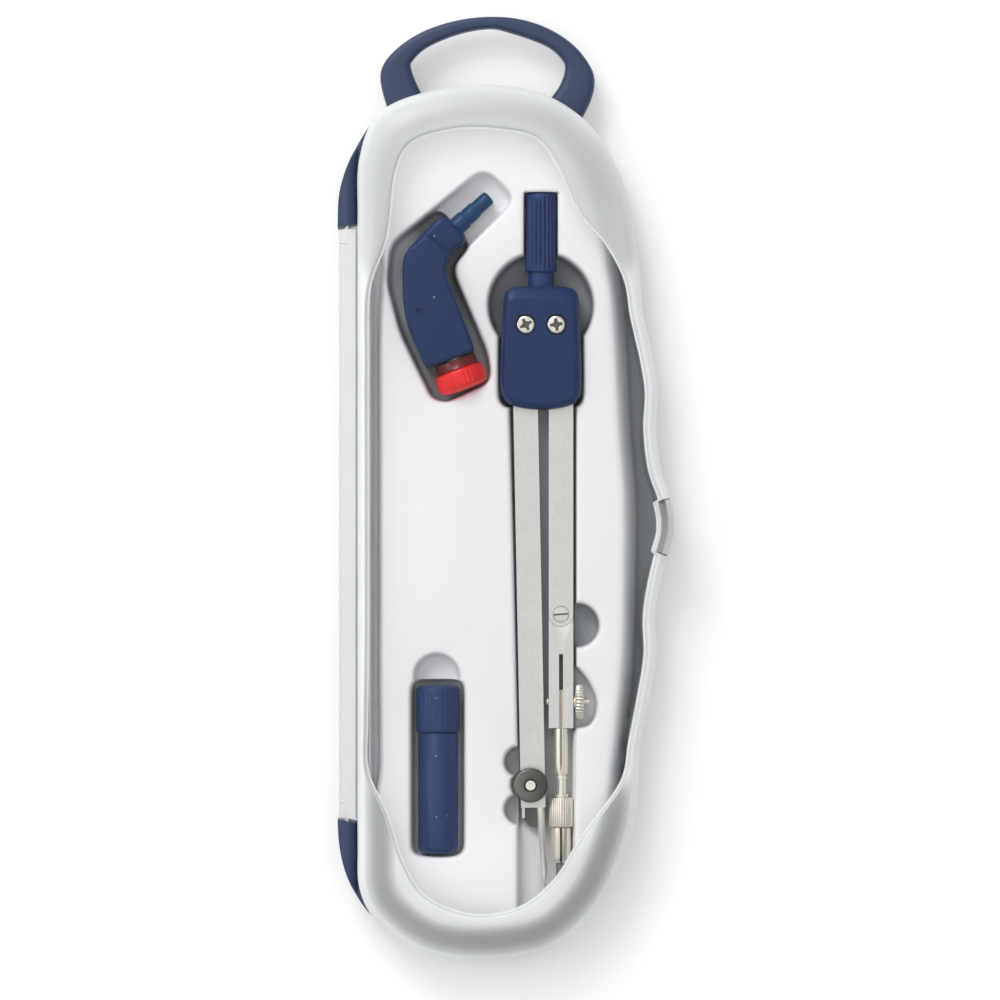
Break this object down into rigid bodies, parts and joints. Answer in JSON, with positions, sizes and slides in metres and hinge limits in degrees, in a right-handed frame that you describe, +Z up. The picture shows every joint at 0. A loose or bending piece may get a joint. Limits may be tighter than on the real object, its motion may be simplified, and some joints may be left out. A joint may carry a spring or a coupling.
{
  "type": "drafting instrument case",
  "caption": "Hinged flat case with carry loop, clear lid and fitted liner that holds a school compass, a pen adapter and a lead case.",
  "frame": {"origin": "centre of the footprint, on the surface that the case lies on", "axes": "+X from the hinge side to the latch side, +Y towards the carry loop, +Z up through the lid"},
  "size_m": [0.0672, 0.189, 0.0169],
  "materials": {
    "case_navy": "fine moulded satin",
    "pin_steel": "ground steel",
    "liner_white": "soft vacuum-formed sheet",
    "lid_clear": "clear window with frosted shoulders",
    "compass_navy": "moulded semi-gloss",
    "bright_nickel": "nickel plate",
    "leg_aluminium": "satin brushed",
    "graphite": "matt graphite",
    "dark_nickel": "dark nickel with a turned face",
    "adapter_navy": "moulded satin",
    "clamp_red": "moulded gloss"
  },
  "bodies": {
    "base": {"base_shell": "case_navy", "hinge_pins": "pin_steel", "insert_tray": "liner_white"},
    "lid": {"lid": "lid_clear"},
    "latch": {"latch_strap": "lid_clear"},
    "compass": {"compass_grip": "compass_navy", "head_front": "compass_navy", "head_rear": "compass_navy", "head_screws": "bright_nickel", "needle_leg": "leg_aluminium", "lead_leg_upper": "leg_aluminium", "lead_leg_lower": "leg_aluminium", "knee_screw": "bright_nickel", "leg_clamp_screw": "bright_nickel", "lead_holder": "bright_nickel", "collet": "bright_nickel", "drawing_lead": "graphite", "needle": "pin_steel"},
    "needle_knob": {"needle_clamp_knob": "dark_nickel", "needle_clamp_screw": "bright_nickel"},
    "clamp_wheel": {"leg_clamp_wheel": "bright_nickel"},
    "nut": {"collet_nut": "bright_nickel"},
    "adapter": {"adapter_body": "adapter_navy"},
    "adapter_knob": {"adapter_clamp_knob": "clamp_red", "adapter_clamp_screw": "bright_nickel"},
    "lead_case": {"lead_case_tube": "adapter_navy", "spare_leads": "graphite"},
    "lead_cap": {"lead_case_cap": "adapter_navy"}
  },
  "joints": [
    {"name": "lid_hinge", "type": "hinge", "parent": "base", "child": "lid", "pos_m": [-0.0317, 0, 0.0085], "axis": [0, -1, 0], "range_deg": [0, 180]},
    {"name": "latch_flex", "type": "slide", "parent": "lid", "child": "latch", "axis": [1, 0, 0], "range_m": [0, 0.0008], "stiffness_N_per_m": 6000},
    {"name": "compass_lift", "type": "slide", "parent": "base", "child": "compass", "axis": [0, 0, 1], "range_m": [0, 0.0066]},
    {"name": "needle_knob_turn", "type": "hinge", "parent": "compass", "child": "needle_knob", "pos_m": [0.005, -0.0593, 0.0077], "axis": [0, 0, 1], "range_deg": [0, 360]},
    {"name": "clamp_wheel_turn", "type": "hinge", "parent": "compass", "child": "clamp_wheel", "pos_m": [0.0145, -0.0427, 0.0077], "axis": [1, 0, 0], "range_deg": [0, 360]},
    {"name": "nut_turn", "type": "hinge", "parent": "compass", "child": "nut", "pos_m": [0.0111, -0.065, 0.0077], "axis": [0, -1, 0], "range_deg": [0, 360]},
    {"name": "adapter_lift", "type": "slide", "parent": "base", "child": "adapter", "axis": [0, 0, 1], "range_m": [0, 0.0066]},
    {"name": "adapter_knob_turn", "type": "hinge", "parent": "adapter", "child": "adapter_knob", "pos_m": [-0.0103, 0.0259, 0.0082], "axis": [0.342, -0.9397, 0], "range_deg": [0, 360]},
    {"name": "lead_case_lift", "type": "slide", "parent": "base", "child": "lead_case", "axis": [0, 0, 1], "range_m": [0, 0.0066]},
    {"name": "cap_twist", "type": "hinge", "parent": "lead_case", "child": "lead_cap", "pos_m": [-0.0135, -0.045, 0.0068], "axis": [0, 1, 0], "continuous": true}
  ],
  "couplings": [
    {"joint": "compass_lift", "follows": "lid_hinge", "m_per_rad": 0.0021},
    {"joint": "adapter_lift", "follows": "lid_hinge", "m_per_rad": 0.0021},
    {"joint": "lead_case_lift", "follows": "lid_hinge", "m_per_rad": 0.0021}
  ]
}
